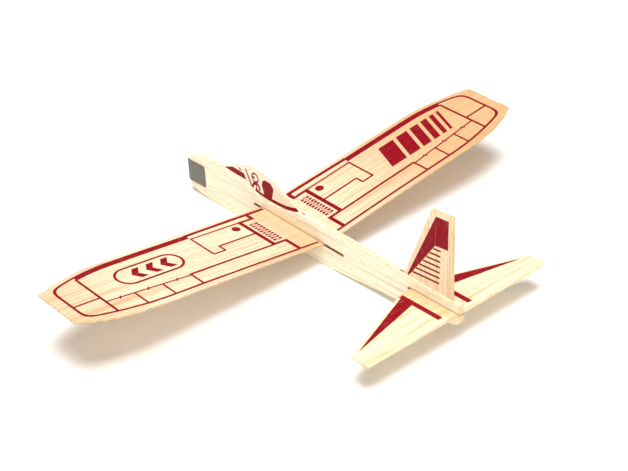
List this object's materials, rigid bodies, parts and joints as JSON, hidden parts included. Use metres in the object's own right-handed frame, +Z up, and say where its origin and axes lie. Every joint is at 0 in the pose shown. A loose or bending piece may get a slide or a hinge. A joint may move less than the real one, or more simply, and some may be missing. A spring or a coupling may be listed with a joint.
{
  "type": "balsa hand glider",
  "caption": "Slot-together balsa toy glider: stick fuselage, sliding one-piece wing, stabilizer, fin, canopy sheet and a bent metal nose clip.",
  "frame": {"origin": "under the middle of the length, in the fuselage's centre plane, at the height of the flat keel that the glider stands on", "axes": "+X to the nose, +Y to the port wing tip, +Z up"},
  "size_m": [0.2148, 0.3048, 0.0692],
  "materials": {
    "balsa_stick": "bare pale balsa, fine orange-brown grain lengthwise, matt",
    "balsa_wing": "bare tan balsa, grain spanwise, dark red printed panel lines",
    "balsa_tail": "bare cream balsa, dark red printed panels",
    "clip_steel": "dull grey bent sheet steel"
  },
  "bodies": {
    "airframe": {"fuselage": "balsa_stick", "stabilizer": "balsa_tail", "fin": "balsa_tail", "canopy": "balsa_tail", "nose_clip": "clip_steel"},
    "wing": {"wing": "balsa_wing"}
  },
  "joints": [
    {"name": "wing_slide", "type": "slide", "parent": "airframe", "child": "wing", "axis": [0.9996, 0, 0.0269], "range_m": [-0.0145, 0.0055]}
  ]
}
